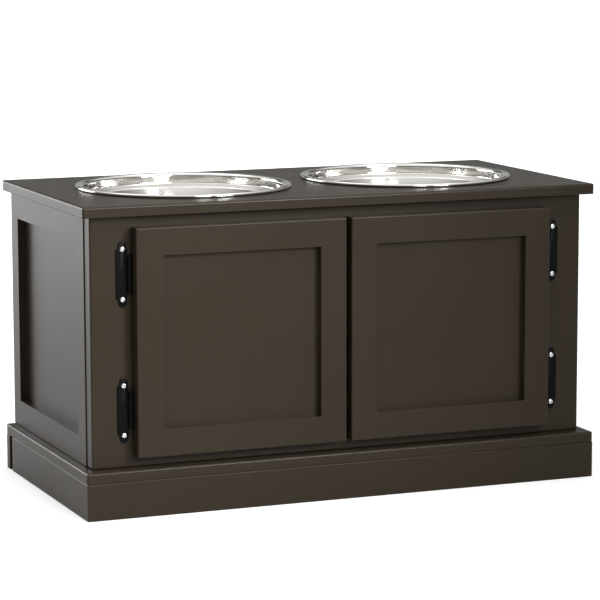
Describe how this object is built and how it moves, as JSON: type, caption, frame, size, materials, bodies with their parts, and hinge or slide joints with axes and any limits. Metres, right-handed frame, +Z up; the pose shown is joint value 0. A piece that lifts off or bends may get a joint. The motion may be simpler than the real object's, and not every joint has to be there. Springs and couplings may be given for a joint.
{
  "type": "raised pet feeding cupboard",
  "caption": "Low cupboard with two overlay doors on a boarded plinth; lift-out steel bowls hang by their rims in round holes in its top.",
  "frame": {"origin": "on the floor, under the middle of the plinth", "axes": "+X to the right as one faces the doors, +Y from the doors to the back, +Z up"},
  "size_m": [0.6, 0.304, 0.338],
  "materials": {
    "paint": "very dark brown satin lacquer",
    "bare_wood": "planed, uncoated",
    "bowl_steel": "polished stainless",
    "black_iron": "black satin powder coat",
    "bright_zinc": "bright zinc plate",
    "plate_steel": "dull zinc plate",
    "catch_plastic": "dark brown moulded"
  },
  "bodies": {
    "cupboard": {"top_board": "paint", "base_board": "paint", "plinth_front_board": "paint", "plinth_back_board": "paint", "plinth_left_board": "paint", "plinth_right_board": "paint", "plinth_glue_blocks": "bare_wood", "face_left_stile": "paint", "face_right_stile": "paint", "face_centre_stile": "paint", "face_top_rail": "paint", "face_bottom_rail": "paint", "left_side_front_stile": "paint", "left_side_rear_stile": "paint", "left_side_top_rail": "paint", "left_side_bottom_rail": "paint", "left_side_panel": "paint", "right_side_front_stile": "paint", "right_side_rear_stile": "paint", "right_side_top_rail": "paint", "right_side_bottom_rail": "paint", "right_side_panel": "paint", "back_panel": "paint", "left_batten": "bare_wood", "right_batten": "bare_wood", "back_batten": "bare_wood", "left_upper_hinge_frame_leaf": "black_iron", "left_upper_hinge_pin": "black_iron", "left_lower_hinge_frame_leaf": "black_iron", "left_lower_hinge_pin": "black_iron", "right_upper_hinge_frame_leaf": "black_iron", "right_upper_hinge_pin": "black_iron", "right_lower_hinge_frame_leaf": "black_iron", "right_lower_hinge_pin": "black_iron", "frame_pan_screws": "bright_zinc", "left_catch_housing": "catch_plastic", "right_catch_housing": "catch_plastic", "catch_magnets": "plate_steel", "cupboard_screws": "plate_steel", "back_panel_nails": "plate_steel"},
    "left_door": {"left_door_hinge_stile": "paint", "left_door_meeting_stile": "paint", "left_door_top_rail": "paint", "left_door_bottom_rail": "paint", "left_door_panel": "paint", "left_upper_hinge_door_leaf": "black_iron", "left_lower_hinge_door_leaf": "black_iron", "left_door_screws": "bright_zinc", "left_strike_plate": "plate_steel"},
    "right_door": {"right_door_hinge_stile": "paint", "right_door_meeting_stile": "paint", "right_door_top_rail": "paint", "right_door_bottom_rail": "paint", "right_door_panel": "paint", "right_upper_hinge_door_leaf": "black_iron", "right_lower_hinge_door_leaf": "black_iron", "right_door_screws": "bright_zinc", "right_strike_plate": "plate_steel"},
    "left_bowl": {"bowl_left": "bowl_steel"},
    "right_bowl": {"bowl_right": "bowl_steel"}
  },
  "joints": [
    {"name": "left_door_swing", "type": "hinge", "parent": "cupboard", "child": "left_door", "pos_m": [-0.2463, -0.1386, 0.187], "axis": [0, 0, -1], "range_deg": [0, 105]},
    {"name": "right_door_swing", "type": "hinge", "parent": "cupboard", "child": "right_door", "pos_m": [0.2463, -0.1386, 0.187], "axis": [0, 0, 1], "range_deg": [0, 105]},
    {"name": "left_bowl_lift", "type": "slide", "parent": "cupboard", "child": "left_bowl", "axis": [0, 0, 1], "range_m": [0, 0.09]},
    {"name": "right_bowl_lift", "type": "slide", "parent": "cupboard", "child": "right_bowl", "axis": [0, 0, 1], "range_m": [0, 0.09]}
  ]
}
